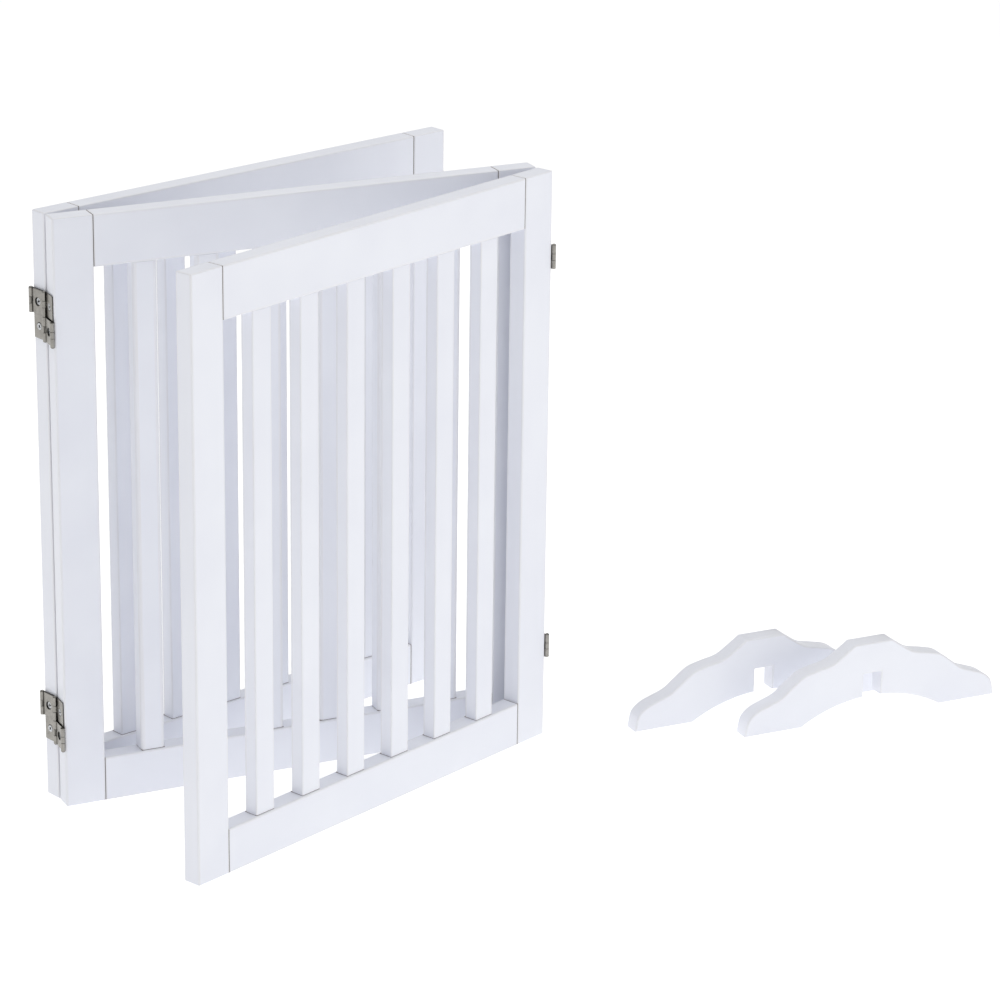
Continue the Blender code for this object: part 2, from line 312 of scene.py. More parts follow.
# %% [markdown]
# ## Boards
# A box with a Bevel modifier would do, but a planed face is never quite flat, and that
# is what makes a satin sheen look real. So a board is its section carried along its
# length: the section shrinks in a quarter circle at each end, and by a few hundredths
# of a millimetre in between, where the planer's feed rose and fell.

# %% A rounded board
STATION = 18 * MM           # between stations along a board
WAVE = 0.035 * MM           # mean depth of the planer's wave
LONG_SWELL = 31 * MM        # each swell repeats every 2 pi of these
SHORT_SWELL = 11 * MM


def board_surface(low, high, axis, radii, end_radius, seed, wave_height=WAVE):
    """A board between two corners, its length along X (axis 0) or Z (axis 2).

    Stations run along the length; the quarter circle at an end puts station s at
    r * (1 - cos) with the profile shrunk by r * (1 - sin). Every station is also
    shrunk by the planer's wave: h * (1 + sin(s / long) / 2 + sin(s / short) / 2).
    """
    across = [k for k in range(3) if k != axis]
    length = high[axis] - low[axis]
    quarter = np.linspace(0.0, math.pi / 2, ARC_STEPS + 1)
    start = end_radius * (1 - np.cos(quarter))
    shrink = end_radius * (1 - np.sin(quarter))
    count = max(2, int((length - 4 * end_radius) / STATION))
    middle = np.linspace(end_radius + SUPPORT, length - end_radius - SUPPORT, count)
    s = np.concatenate([[0.0], start, middle, (length - start)[::-1], [length]])
    wave = wave_height * (1 + 0.5 * np.sin(s / LONG_SWELL + seed)
                          + 0.5 * np.sin(s / SHORT_SWELL + 2.3 * seed))
    half = [(high[k] - low[k]) / 2 for k in across]
    cap = [end_radius + min(SUPPORT, 0.3 * min(half))]
    inset = np.concatenate([cap, shrink, np.zeros(count), shrink[::-1], cap]) + wave
    ring = profile_ring(np.full(len(s), half[0]), np.full(len(s), half[1]), radii, inset,
                        min(SUPPORT, 0.4 * min(half)))
    rows, columns = ring.shape[:2]
    points = np.zeros((rows, columns, 3))
    points[..., axis] = low[axis] + s[:, None]
    for part, k in enumerate(across):
        points[..., k] = (low[k] + high[k]) / 2 + ring[..., part]
    faces = grid_faces(rows, columns)
    faces += [list(range(columns))[::-1], list(range((rows - 1) * columns, rows * columns))]
    return points.reshape(-1, 3), faces, (rows, columns)


def arris_layer(rows, columns, end_rows):
    """1 on the corner arcs and on the rounded ends, 0 on the flats."""
    around = np.ones(columns)
    per_corner = columns // 4
    around[::per_corner] = 0.0
    around[per_corner - 1::per_corner] = 0.0
    layer = np.tile(around, (rows, 1))
    layer[1:end_rows] = 1.0
    layer[-end_rows:-1] = 1.0
    layer[[0, -1]] = 0.0
    return layer.ravel()


print("stations along a metre of board:", int(1.0 / STATION))

# %% [markdown]
# ## The three panels
# Stiles and rails are 20 mm thick with arrises of about a millimetre. Slats are thinner
# and have one crisp side and one well-rounded side, as they came from the moulder. Each
# board is shaped with its panel shut and then turned to the panel's fold angle.

# %% Boards of the panels
FRAME_ARRIS = 1.3 * MM
SLAT_CRISP = 0.9 * MM
SLAT_ROUND = 3.2 * MM
END_ARRIS = 0.5 * MM
GRAIN_SHIFT = np.array([0.37, 0.11, 0.05])      # gives each board its own run of the grain


def board_piece(node, prefix, radii, end_radius, number):
    """One board of a panel, standing for its CAD node."""
    low, high = shut_box(node, prefix)
    axis = 0 if "_rail_" in node else 2
    points, faces, (rows, columns) = board_surface(low, high, axis, radii, end_radius, number)
    order = [axis] + [k for k in range(3) if k != axis]
    place = points[:, order] - low[order] + GRAIN_SHIFT * number
    pivot, angle = stance(prefix)
    add_piece(node + "_board", turn(points, pivot, angle), faces, prefix + "_panel",
              "white_paint", ENAMEL, [node], board=place,
              arris=arris_layer(rows, columns, ARC_STEPS + 1))


boards = 0
for prefix in PANELS:
    wide, crisp = SLAT_ROUND, SLAT_CRISP
    slat_radii = (crisp, crisp, wide, wide) if prefix == "middle" else (wide, wide, crisp, crisp)
    for node in sorted(n for n in frame["nodes"] if n.startswith(prefix + "_")):
        boards += 1
        if "_slat_" in node:
            board_piece(node, prefix, slat_radii, END_ARRIS, boards)
        else:
            board_piece(node, prefix, (FRAME_ARRIS,) * 4, FRAME_ARRIS, boards)
print("boards:", boards)

# %% [markdown]
# ## Glue lines and painted gap shade
# Where a rail meets a stile, and a slat meets a rail, the painters leave a hairline: the
# film bridges the joint, shrinks, and the glue and bare wood show brown at the bottom of
# it. That dark brown is partly the glue's own colour and partly painted shade, standing
# for the shade deep in the narrow gap. At the top of a slat the film has held, so the line
# there is paint. Each line is a thin slip set back in the gap between two boards. It is a
# board surface too, only a quarter of a millimetre thick.

# %% Slips of dried glue, dark as painted gap shade, and of paint in the joints
GLUE_BLOB = 4 * MM


def glue_and_gap_shade():
    """Amber wood glue with dust in it: dull, brown and uneven, and dark as painted shade in the
    gap.
    """
    finish, tree, shader = new_finish("glue_and_gap_shade", Roughness=0.7, IOR=1.47)
    board = add_node(tree, "Attribute", {"attribute_name": "board"}).outputs["Vector"]
    blobs = add_node(tree, "TexNoise", Vector=board, Scale=1 / GLUE_BLOB, Detail=2.0)
    # Dark brown, partly the glue's own colour and partly painted shade of the deep gap.
    tone = add_node(tree, "Mix", {"data_type": "RGBA"}, _0=blobs.outputs["Fac"],
                    _6=linear("#5E5148"), _7=linear("#8C8078"))
    tree.links.new(tone.outputs[2], shader.inputs["Base Color"])
    return finish


GLUE_AND_GAP_SHADE = glue_and_gap_shade()
GLUE_BACK = 0.35 * MM           # from a face of the boards down to the glue
BRIDGE_BACK = 0.25 * MM         # the same for a slat's ends
GLUE_ROUND = 0.05 * MM
GLUE_PLAY = 0.02 * MM           # a slip stays this clear of its boards
SLATS = 6                       # in each panel


def slip(name, prefix, low, high, axis, number, finish):
    """A slip between two corners, shaped with its panel shut."""
    points, faces, (rows, columns) = board_surface(
        np.array(low), np.array(high), axis, (GLUE_ROUND,) * 4, GLUE_ROUND, number, 0.0)
    pivot, angle = stance(prefix)
    add_piece(name, turn(points, pivot, angle), faces, prefix + "_panel", "white_paint", finish,
              board=points - np.array(low))


slips = 0
for prefix in PANELS:
    for rail in ("rail_top", "rail_bottom"):
        low, high = shut_box(f"{prefix}_{rail}", prefix)
        for side in ("left", "right"):
            stile_low, stile_high = shut_box(f"{prefix}_stile_{side}", prefix)
            on_high = stile_low[0] > low[0]
            gap = (high[0], stile_low[0]) if on_high else (stile_high[0], low[0])
            slips += 1
            slip(f"{prefix}_{rail}_{side}_glue_line", prefix,
                 (gap[0] + GLUE_PLAY, low[1] + GLUE_BACK, low[2] + GLUE_BACK),
                 (gap[1] - GLUE_PLAY, high[1] - GLUE_BACK, high[2] - GLUE_BACK), 2, slips, GLUE_AND_GAP_SHADE)
        for index in range(1, SLATS + 1):
            slat_low, slat_high = shut_box(f"{prefix}_slat_{index}", prefix)
            gap = (slat_high[2], low[2]) if rail == "rail_top" else (high[2], slat_low[2])
            slips += 1
            slip(f"{prefix}_slat_{index}_{rail}_joint_line", prefix,
                 (slat_low[0] + BRIDGE_BACK, slat_low[1] + BRIDGE_BACK, gap[0] + GLUE_PLAY),
                 (slat_high[0] - BRIDGE_BACK, slat_high[1] - BRIDGE_BACK, gap[1] - GLUE_PLAY),
                 0, slips, ENAMEL if rail == "rail_top" else GLUE_AND_GAP_SHADE)
print("joint slips:", slips)

# %% [markdown]
# ## Finishes of the hinges
# The hinges are pressed from mild steel sheet, tumbled and nickel-plated to a satin grey.
# Tumbling leaves fine scratches in every direction and a cloudy sheen. Corners, gaps and
# undersides are painted darker, as painted shade. The screws are zinc-plated, a little bluer and
# brighter.
# Scratches are 0.25 mm apart here, coarser than real ones so that they show at all.

# %% Nickel and zinc
PLATING_CLOUD = 5 * MM
SCRATCH_GAP = 0.25 * MM
SCRATCH_DEPTH = 0.03 * MM


def plated_steel(name, dark, bright, low_rough, high_rough):
    """Tumbled and plated steel: cloudy tone and sheen, fine scratches, painted shade in
    crevices.
    """
    finish, tree, shader = new_finish(name, Metallic=1.0)
    place = add_node(tree, "TexCoord").outputs["Object"]
    cloud = add_node(tree, "TexNoise", Vector=place, Scale=1 / PLATING_CLOUD, Detail=3.0)
    scratch = add_node(tree, "TexNoise", Vector=place, Scale=1 / SCRATCH_GAP, Detail=2.0)
    plated = add_node(tree, "Mix", {"data_type": "RGBA"}, _0=cloud.outputs["Fac"],
                      _6=linear(dark), _7=linear(bright))
    # Painted shade: where this layer is 1, in crevices, gaps and undersides, the plating goes
    # near black.
    darkness = add_node(tree, "Attribute", {"attribute_name": "darkness"}).outputs["Fac"]
    tone = add_node(tree, "Mix", {"data_type": "RGBA"}, _0=darkness,
                    _6=plated.outputs[2], _7=linear("#3B3936"))
    sheen = add_node(tree, "MapRange", Value=cloud.outputs["Fac"], From_Min=0.3, From_Max=0.7,
                     To_Min=low_rough, To_Max=high_rough)
    relief = add_node(tree, "Bump", Strength=0.25, Distance=SCRATCH_DEPTH,
                      Height=scratch.outputs["Fac"])
    tree.links.new(tone.outputs[2], shader.inputs["Base Color"])
    tree.links.new(sheen.outputs[0], shader.inputs["Roughness"])
    tree.links.new(relief.outputs[0], shader.inputs["Normal"])
    return finish


NICKEL = plated_steel("satin_nickel_plated_steel", "#74726E", "#B2AFA9", 0.24, 0.40)
ZINC = plated_steel("bright_zinc_plated_steel", "#A6A8AB", "#D2D4D6", 0.18, 0.32)
print("made", NICKEL.name, "and", ZINC.name)

# %% [markdown]
# ## Where a hinge stands
# A double-action hinge has three upright axes: a centre one between the panels and one
# on the outside of each panel. Its own frame has the centre axis at the origin, X out of
# the ends of the panels, the outer panel on -Y and the middle panel on +Y. The sizes
# below repeat those of the CAD model. What rides on the outer panel is turned by the
# fold angle as well.

# %% Sizes of a hinge, and its place
AXIS_PITCH = 21.5 * MM          # centre axis to an outer axis
SHEET = 1.1 * MM                # thickness of leaves and links
LEAF_LOW = -2.3 * MM            # X of a leaf's under side
LINK_LOW = -0.9 * MM            # X of a link's under side
HALF_NEAR = 0.2 * MM            # the two halves start this far from mid height
HALF_FAR = 25.0 * MM
KNUCKLE = 8.9 * MM
KNUCKLE_GAP = 0.3 * MM
PLATE_EDGE = 2.7 * MM           # plates stop this far from an axis
ROLL_RADIUS = 1.75 * MM         # middle of the sheet, round a pin
ENDS = {"right": ("front", 0.0), "left": ("back", math.pi)}     # outer panel, and facing


def hinge_place(points, side, height, outer):
    """Points from a hinge's own frame to the world."""
    prefix, facing = ENDS[side]
    pivot, fold = stance(prefix)
    origin = np.array([pivot[0], pivot[1], height])
    return turn(points + origin, pivot, facing + (fold if outer else 0.0))


def half_span(half):
    """Low and high Z of the upper (+1) or lower (-1) half."""
    return (HALF_NEAR, HALF_FAR) if half > 0 else (-HALF_FAR, -HALF_NEAR)


def knuckle_spans(half, owner):
    """A leaf has a knuckle at each end of a half, a link the one between them."""
    low, high = half_span(half)
    if owner == "leaf":
        return [(low, low + KNUCKLE), (high - KNUCKLE, high)]
    return [(low + KNUCKLE + KNUCKLE_GAP, high - KNUCKLE - KNUCKLE_GAP)]


print("hinge height in mm:", 2 * HALF_FAR / MM)

# %% [markdown]
# ## Hinge plates
# A plate is a flat sheet with one round hole in each half. It could be a box with a
# cylinder cut out, but a boolean leaves long thin faces round the hole. Here one loop of
# points runs round the plate's rounded rectangle, a second loop runs round the hole at
# the same angles, and the surface blends from one loop to the other, over the top,
# round the outer edge, back underneath and up through the hole.

# %% A plate with a hole
CORNER = 0.9 * MM               # rounding of a plate's corners, seen from the front
BURR = 0.18 * MM                # rounding of a sheared edge
HOLE_RIM = 0.12 * MM            # the same round a hole
CORNER_POINTS = 5
SIDE_POINTS = 12


def rectangle_loop(half_y, half_z, corner):
    """Points round a rounded rectangle: corner arcs, and even steps along each side."""
    loop = []
    turns = np.linspace(0.0, math.pi / 2, CORNER_POINTS)
    signs = ((1, 1), (-1, 1), (-1, -1), (1, -1))
    for k, (sy, sz) in enumerate(signs):
        angle = turns + k * math.pi / 2
        arc = np.stack([sy * (half_y - corner) + corner * np.cos(angle),
                        sz * (half_z - corner) + corner * np.sin(angle)], axis=-1)
        loop.append(arc)
        ny, nz = signs[(k + 1) % 4]
        angle = (k + 1) * math.pi / 2
        following = np.array([ny * (half_y - corner) + corner * math.cos(angle),
                              nz * (half_z - corner) + corner * math.sin(angle)])
        part = np.linspace(0.0, 1.0, SIDE_POINTS + 2)[1:-1, None]
        loop.append(arc[-1] * (1 - part) + following * part)
    return np.concatenate(loop)


def plate_shell(span_y, span_z, low_x, hole_top, hole_foot):
    """A sheet between two corners with a round hole in its middle, closed like a ring.

    Each row is (loop, depth x, shade). A loop is the rectangle drawn in by an inset,
    or the hole's circle at the same polar angles, or a blend (1 - v) * circle
    + v * rectangle. The hole's wall and the under side get painted shade, the top does not.
    """
    middle = np.array([sum(span_y) / 2, sum(span_z) / 2])
    half_y, half_z = (span_y[1] - span_y[0]) / 2, (span_z[1] - span_z[0]) / 2
    outer = rectangle_loop(half_y, half_z, CORNER)
    angle = np.arctan2(outer[:, 1], outer[:, 0])
    circle = np.stack([np.cos(angle), np.sin(angle)], axis=-1)
    inner = rectangle_loop(half_y - BURR, half_z - BURR, CORNER - BURR / 2)
    top, foot = low_x + SHEET, low_x
    rim = circle * (hole_top + HOLE_RIM)
    rows = [(circle * hole_foot, foot, 1.0), (circle * hole_top, top - HOLE_RIM, 0.8),
            (rim, top, 0.3)]
    rows += [(rim * (1 - v) + inner * v, top, 0.0) for v in (0.08, 0.3, 0.6, 0.85, 1.0)]
    for part in (0.5, 1.0):
        turned = part * math.pi / 2
        rows.append((inner + (outer - inner) * math.sin(turned),
                     top - BURR * (1 - math.cos(turned)), 0.5 * part))
    rows += [(outer, foot + BURR, 1.0), (inner, foot, 1.0)]
    points = np.array([np.column_stack([np.full(len(loop), x), loop + middle])
                       for loop, x, dark in rows])
    darkness = np.repeat([dark for loop, x, dark in rows], len(outer))
    faces = grid_faces(len(rows), len(outer), close_rows=True)
    return points.reshape(-1, 3), faces, darkness


print("points round a plate:", 4 * (CORNER_POINTS + SIDE_POINTS))

# %% [markdown]
# ## Rolled knuckles
# A knuckle is a tongue of the same sheet, rolled round the pin until it nearly meets
# itself. So it is a thin rectangle carried along a path: straight off the plate, then
# round the pin. A leaf lies level with the under side of its barrel, so its path is
# already tangent. A link lies higher, so its tongue dips down in an S first.

# %% A rolled knuckle
TONGUE = PLATE_EDGE + 0.7 * MM  # a tongue starts this far from its axis, inside the plate
SHEARED = 0.16 * MM
STRIP_UNDER = 0.01 * MM         # a tongue's faces lie this far inside its plate's
DIP = 2.5 * MM                  # a tongue starts to dip this far from its axis
DIP_STEPS = 11
ROLL_STEPS = 26


def rolled_path(low_x, wrap):
    """Middle line of a tongue: (distance from the axis, x), and its unit normal.

    The tongue dips from its plate's level to -R by a smoothstep, then runs round the
    circle (-R sin t, -R cos t) to t = wrap.
    """
    start = low_x + SHEET / 2
    d = np.linspace(TONGUE, 0.0, DIP_STEPS + 1)[:-1]
    t = np.clip((DIP - d) / DIP, 0.0, 1.0)
    dip = start + (-ROLL_RADIUS - start) * t * t * (3 - 2 * t)
    angle = np.linspace(0.0, math.radians(wrap), ROLL_STEPS)
    path = np.concatenate([np.column_stack([d, dip]),
                           np.column_stack([-ROLL_RADIUS * np.sin(angle),
                                            -ROLL_RADIUS * np.cos(angle)])])
    along = np.gradient(path, axis=0)
    along /= np.linalg.norm(along, axis=1, keepdims=True)
    return path, np.column_stack([along[:, 1], -along[:, 0]])


def knuckle_shell(axis_y, towards, low_x, span, wrap):
    """A rolled tongue on the axis at y = axis_y; its plate lies at +towards from there.

    Each row is the strip's rounded section: path + a * normal, at height b. Its sheared
    sides get painted shade, and its free end the darkest painted shade.
    """
    path, normal = rolled_path(low_x, wrap)
    rows = len(path)
    half_z = (span[1] - span[0]) / 2
    inset = np.zeros(rows)
    inset[[0, -1]] = SHEARED
    ring = profile_ring(np.full(rows, SHEET / 2 - STRIP_UNDER), np.full(rows, half_z),
                        (SHEARED,) * 4, inset, SHEARED)
    place = path[:, None, :] + ring[..., :1] * normal[:, None, :]
    points = np.stack([place[..., 1], axis_y + towards * place[..., 0],
                       sum(span) / 2 + ring[..., 1]], axis=-1)
    columns = ring.shape[1]
    faces = grid_faces(rows, columns)
    faces += [list(range(columns))[::-1], list(range((rows - 1) * columns, rows * columns))]
    # Painted shade: the sheared sides, where the gaps between knuckles fall dark, and the free
    # end darkest.
    darkness = np.where(np.abs(ring[..., 1]) > half_z - 0.5 * SHEARED, 0.7, 0.0)
    darkness[-2:] = 1.0
    return points.reshape(-1, 3), faces, darkness.ravel()


print("barrel of a hinge in mm across:", round((2 * ROLL_RADIUS + SHEET) / MM, 1))

# %% [markdown]
# ## Leaves and links
# A leaf is screwed to the end of one panel, and its knuckles are on one axis in the
# upper half and on the other axis in the lower half. A link lies over one half of a leaf
# and joins the two axes there, with a wide hole that lets a screwdriver through.

# %% Leaves and links
SCREW_HOLE = 1.9 * MM
COUNTERSINK = 3.5 * MM
ACCESS_HOLE = 4.2 * MM
LEAF_WRAP = 285                 # degrees of roll
LINK_WRAP = 235


def span_on(side, near, far):
    """Y span on one side of the hinge, low end first."""
    return tuple(sorted((side * near, side * far)))


def leaf_shells(side, upper_on_outer_axis):
    """Two half plates that run into each other, and two knuckles in each half."""
    shells = []
    across = span_on(side, PLATE_EDGE, AXIS_PITCH - PLATE_EDGE)
    for half in (1, -1):
        span = (-BURR - CORNER, HALF_FAR) if half > 0 else (-HALF_FAR, BURR + CORNER)
        shells.append(plate_shell(across, span, LEAF_LOW, COUNTERSINK, SCREW_HOLE))
        on_outer = upper_on_outer_axis == (half == 1)
        for knuckle in knuckle_spans(half, "leaf"):
            axis_y, towards = (side * AXIS_PITCH, -side) if on_outer else (0.0, side)
            shells.append(knuckle_shell(axis_y, towards, LEAF_LOW, knuckle, LEAF_WRAP))
    return joined(shells)


def link_shells(side, half):
    """One plate over half a leaf, with one knuckle on each of two axes."""
    across = span_on(side, PLATE_EDGE, AXIS_PITCH - PLATE_EDGE)
    shells = [plate_shell(across, half_span(half), LINK_LOW, ACCESS_HOLE, ACCESS_HOLE)]
    for axis_y, towards in ((0.0, side), (side * AXIS_PITCH, -side)):
        for knuckle in knuckle_spans(half, "link"):
            shells.append(knuckle_shell(axis_y, towards, LINK_LOW, knuckle, LINK_WRAP))
    return joined(shells)


print("faces of a leaf:", len(leaf_shells(-1, True)[1]), "and of a link:",
      len(link_shells(-1, 1)[1]))

# %% [markdown]
# ## Pins
# A pin is a turned part: a profile of radius against height, swept once round. It ends
# in a low peened dome, as if a rivet had been struck with a hammer.

# %% Turned parts and pins
AROUND = 48                     # points round a turned part
PIN_RADIUS = 1.2 * MM
HEAD_RADIUS = 1.9 * MM
HEAD_HEIGHT = 0.8 * MM
HEAD_PLAY = 0.3 * MM            # a head stays this far off the end of the barrel
DOME_ANGLES = (0, 25, 50, 72, 84)


def turned(radius, height):
    """Points (r cos a, r sin a, h) for every row of a profile, with a cap at each end."""
    angle = np.linspace(0.0, 2 * math.pi, AROUND, endpoint=False)
    r, h = np.broadcast_arrays(radius, height)
    if r.ndim == 1:
        r, h = np.repeat(r[:, None], AROUND, 1), np.repeat(h[:, None], AROUND, 1)
    points = np.stack([r * np.cos(angle), r * np.sin(angle), h], axis=-1)
    rows = len(r)
    faces = grid_faces(rows, AROUND)
    faces += [list(range(AROUND))[::-1], list(range((rows - 1) * AROUND, rows * AROUND))]
    return points.reshape(-1, 3), faces, np.zeros(rows * AROUND)


def pin_shell(low, high, heads):
    """A shank with a domed head, radius R cos t at height H sin t, at the ends named."""
    t = np.radians(DOME_ANGLES)
    radius, height = [PIN_RADIUS], [low]
    if -1 in heads:
        radius = [*(HEAD_RADIUS * np.cos(t[::-1])), PIN_RADIUS]
        height = [*(low - HEAD_PLAY - HEAD_HEIGHT * np.sin(t[::-1])), low - HEAD_PLAY]
    radius, height = radius + [PIN_RADIUS], height + [high + (HEAD_PLAY if 1 in heads else 0)]
    if 1 in heads:
        radius += list(HEAD_RADIUS * np.cos(t))
        height += list(high + HEAD_PLAY + HEAD_HEIGHT * np.sin(t))
    return turned(np.array(radius), np.array(height))


print("faces of a pin:", len(pin_shell(0.0, HALF_FAR, (1,))[1]))

# %% [markdown]
# ## Screws
# A screw is turned too, with a countersunk head. Its cross recess could be cut out with
# a boolean, but here it is a dip in the height of the head's face, deep along two
# crossed arms and shallower towards their tips, so the screw stays one clean grid.

# %% A countersunk screw
SCREW_HEAD = 3.4 * MM           # its radius
SCREW_PROUD = 0.2 * MM          # the head stands this far above its leaf
SCREW_SHANK = 1.5 * MM
SCREW_DEPTH = 7.0 * MM          # how far the shank runs into the wood
RECESS_DEPTH = 1.3 * MM
RECESS_REACH = 2.1 * MM
RECESS_WIDTH = 0.48 * MM        # half the width of an arm
RECESS_WALL = 0.18 * MM         # an arm's side slopes over this width
RECESS_TIP = 0.35 * MM          # an arm runs out over this length
HEAD_BEVEL = 0.12 * MM          # broken edge of the head
SCREW_NECK = 1.45 * MM          # depth at which the cone of the head meets the shank
FACE_RINGS = 16
# Painted shade in the cross recess: it is painted black well before its full depth.
RECESS_SHADE = 1.6               # the recess is black well before its full depth


def screw_shell(turned_by):
    """A countersunk screw, its axis on Z with the face of the head at zero.

    The recess has depth D * wall * taper * (1 - r / 2R): wall falls from 1 to 0 across
    the side of the nearer of two crossed arms, and taper towards their tips.
    """
    angle = np.linspace(0.0, 2 * math.pi, AROUND, endpoint=False)
    face = np.linspace(SCREW_HEAD - HEAD_BEVEL, HEAD_BEVEL, FACE_RINGS)
    r, a = np.meshgrid(face, angle, indexing="ij")
    arm = np.minimum(np.abs(r * np.sin(a + turned_by)), np.abs(r * np.cos(a + turned_by)))
    wall = np.clip((RECESS_WIDTH - arm) / RECESS_WALL + 0.5, 0.0, 1.0)
    taper = np.clip((RECESS_REACH - r) / RECESS_TIP, 0.0, 1.0)
    dip = RECESS_DEPTH * wall * taper * (1 - 0.5 * r / RECESS_REACH)
    side_r = np.array([SCREW_SHANK * 0.6, SCREW_SHANK, SCREW_SHANK, SCREW_HEAD])
    side_h = np.array([-SCREW_DEPTH, -SCREW_DEPTH * 0.85, -SCREW_NECK, -HEAD_BEVEL])
    radius = np.concatenate([np.repeat(side_r[:, None], AROUND, 1), r])
    height = np.concatenate([np.repeat(side_h[:, None], AROUND, 1), -dip])
    points, faces, darkness = turned(radius, height)
    # Painted shade: the head's face goes dark with the depth of its recess.
    darkness[side_r.size * AROUND:] = np.clip(RECESS_SHADE * dip / RECESS_DEPTH, 0.0, 1.0).ravel()
    return points, faces, darkness


print("faces of a screw:", len(screw_shell(0.0)[1]))

# %% [markdown]
# ## Four hinges
# There are two hinges at each end, shaped once in the hinge's own frame and then placed.
# The first outer panel folds one way and the second the other, so the hinges at the left
# end are those of the right end turned half round. No two screws are driven home at the
# same angle.

# %% Placing the hinges
STEEL_CREASE = 35               # degrees, as for wood
SCREW_TURN = 2.4                # radians from one screw to the next
PIN_AXES = {"pin_outer": -AXIS_PITCH, "pin_centre": 0.0, "pin_middle": AXIS_PITCH}


def on_end(points, y, z):
    """A part turned about Z laid down with its axis along X, at one place on a plate."""
    face = LEAF_LOW + SHEET + SCREW_PROUD
    return np.stack([points[:, 2] + face, points[:, 0] + y, points[:, 1] + z], axis=-1)


screws = 0
for side in ENDS:
    bodies = {True: ENDS[side][0] + "_panel", False: "middle_panel"}
    for level in ("upper", "lower"):
        hinge = f"{side}_{level}_hinge"
        low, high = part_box(hinge + "_leaf_outer")
        height = (low[2] + high[2]) / 2
        parts = (
            ("leaf_outer", leaf_shells(-1, True), True),
            ("leaf_middle", leaf_shells(1, False), False),
            ("link_upper", link_shells(-1, 1), True),
            ("link_lower", link_shells(1, -1), False),
            ("pin_outer", pin_shell(HALF_NEAR, HALF_FAR, (1,)), True),
            ("pin_centre", pin_shell(-HALF_FAR, HALF_FAR, (1, -1)), False),
            ("pin_middle", pin_shell(-HALF_FAR, -HALF_NEAR, (-1,)), False),
        )
        for part, (points, faces, darkness), outer in parts:
            points = points + np.array([0.0, PIN_AXES.get(part, 0.0), 0.0])
            add_piece(f"{hinge}_{part}_steel", hinge_place(points, side, height, outer), faces,
                      bodies[outer], "nickel", NICKEL, [f"{hinge}_{part}"],
                      crease=STEEL_CREASE, darkness=darkness)
        for outer in (True, False):
            for half in (1, -1):
                screws += 1
                points, faces, darkness = screw_shell(screws * SCREW_TURN)
                y = (-1 if outer else 1) * AXIS_PITCH / 2
                points = on_end(points, y, half * (HALF_NEAR + HALF_FAR) / 2)
                add_piece(f"{hinge}_screw_{screws}", hinge_place(points, side, height, outer),
                          faces, bodies[outer], "nickel", ZINC, crease=STEEL_CREASE,
                          darkness=darkness)
print("hinges: 4, screws:", screws)

# %% [markdown]
# ## Support feet
# Each foot is a saddle cut from one board with a template, so its edge is one smooth
# line: a flat top, two shoulders that fall to the toe in waves, flat soles, a low arch,
# and a slot that drops over the bottom rail. The line is a Catmull-Rom curve through a
# few points. The edge is then run over with a rounding cutter: rows of points go round
# a quarter circle from one face to the edge, and round another to the other face.

# %% The outline of a foot
FOOT_BASE_INNER = 84.5 * MM
FOOT_ARCH_RISE = 23.0 * MM
FOOT_SLOT_HALF = 10.75 * MM
FOOT_SLOT_TOP = 49.0 * MM
FOOT_HALF = 152.5 * MM
FOOT_SHOULDER = np.array([
    (22.5, 84.0), (36.0, 74.5), (50.0, 66.0), (68.0, 62.0), (84.0, 57.5), (98.0, 47.5),
    (111.0, 37.5), (125.0, 32.0), (139.0, 26.5), (149.0, 17.5), (152.5, 3.0)]) * MM
SHOULDER_STEPS = 8              # between two points of the shoulder
ARCH_POINTS = 25
BLUNTEST_MITRE = 0.5            # a corner moves at most 1 / this of the distance


def catmull_rom(points, steps):
    """A smooth curve through points: the usual cubic in t between each pair."""
    p = np.concatenate([points[:1], points, points[-1:]])
    t = np.linspace(0.0, 1.0, steps, endpoint=False)[None, :, None]
    a, b, c, d = (p[k:len(p) - 3 + k, None, :] for k in range(4))
    curve = 0.5 * (2 * b + (c - a) * t + (2 * a - 5 * b + 4 * c - d) * t ** 2
                   + (3 * b - a - 3 * c + d) * t ** 3)
    return np.concatenate([curve.reshape(-1, 2), points[-1:]])


def foot_outline():
    """The whole outline: the right half, then its mirror image back to the start.

    The arch is part of a circle of radius (a a + h h) / 2h, for half width a and rise h.
    """
    radius = (FOOT_BASE_INNER ** 2 + FOOT_ARCH_RISE ** 2) / (2 * FOOT_ARCH_RISE)
    x = np.linspace(FOOT_BASE_INNER, FOOT_SLOT_HALF, ARCH_POINTS)
    arch = np.column_stack([x, FOOT_ARCH_RISE - radius + np.sqrt(radius ** 2 - x ** 2)])
    toe = [(FOOT_HALF, 0.0)]
    slot = [(FOOT_SLOT_HALF, FOOT_SLOT_TOP)]
    right = np.concatenate([catmull_rom(FOOT_SHOULDER, SHOULDER_STEPS), toe, arch, slot])
    return np.concatenate([right, right[::-1] * (-1, 1)])


def drawn_in(outline, distance):
    """An outline moved inwards: each corner goes along the mitre of its two sides.

    It goes distance / cos(half the turn there), which keeps both sides at that distance.
    """
    ahead = np.roll(outline, -1, axis=0) - outline
    ahead /= np.linalg.norm(ahead, axis=1, keepdims=True)
    behind = np.roll(ahead, 1, axis=0)
    inward = (np.column_stack([ahead[:, 1], -ahead[:, 0]])
              + np.column_stack([behind[:, 1], -behind[:, 0]]))
    inward /= np.linalg.norm(inward, axis=1, keepdims=True)
    cos_half = np.sqrt((1 + np.sum(ahead * behind, axis=1)) / 2)
    return outline + inward * (distance / np.maximum(cos_half, BLUNTEST_MITRE))[:, None]


outline = foot_outline()
print("foot outline:", len(outline), "points")

# %% [markdown]
# ## Two feet
# The outline is carried from one face of a foot to the other, drawn in near each face so
# that the long edges come out rounded. The feet are painted like the boards.

